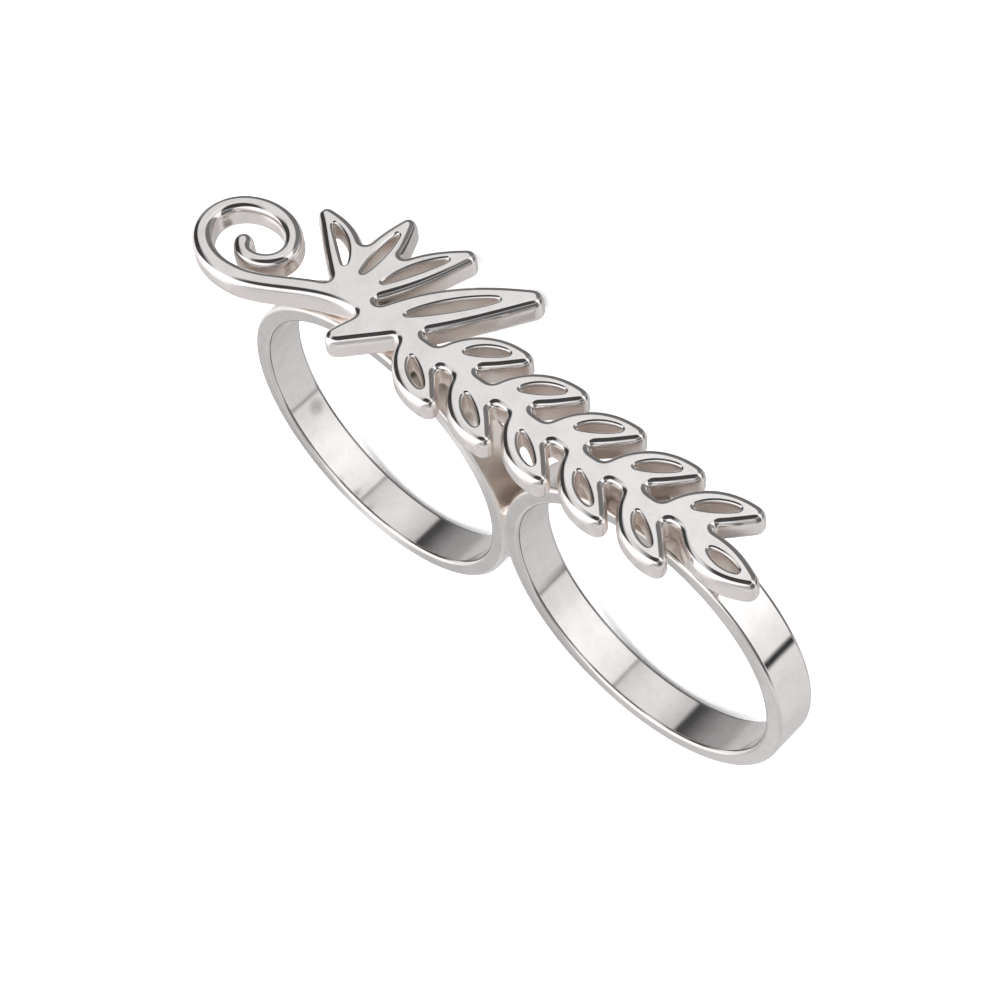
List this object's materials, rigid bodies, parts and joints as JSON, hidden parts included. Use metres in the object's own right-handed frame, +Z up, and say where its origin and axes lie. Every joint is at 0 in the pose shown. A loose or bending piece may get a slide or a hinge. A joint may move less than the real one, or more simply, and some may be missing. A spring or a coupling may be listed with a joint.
{
  "type": "two-finger ring",
  "caption": "Two-finger ring: round bands soldered side by side under a long pierced branch of leaves, a fan of fronds and a scroll. It lies on its side, resting on its longest frond and on both bands.",
  "frame": {"origin": "middle of the lying ring's box, on the surface that it lies on", "axes": "+X along the ornament towards its scroll, -Y the side that the ornament faces, +Z up"},
  "size_m": [0.0414, 0.022, 0.0103],
  "materials": {
    "polished_silver": "polished"
  },
  "bodies": {
    "root": {"two_finger_ring": "polished_silver"}
  },
  "joints": []
}
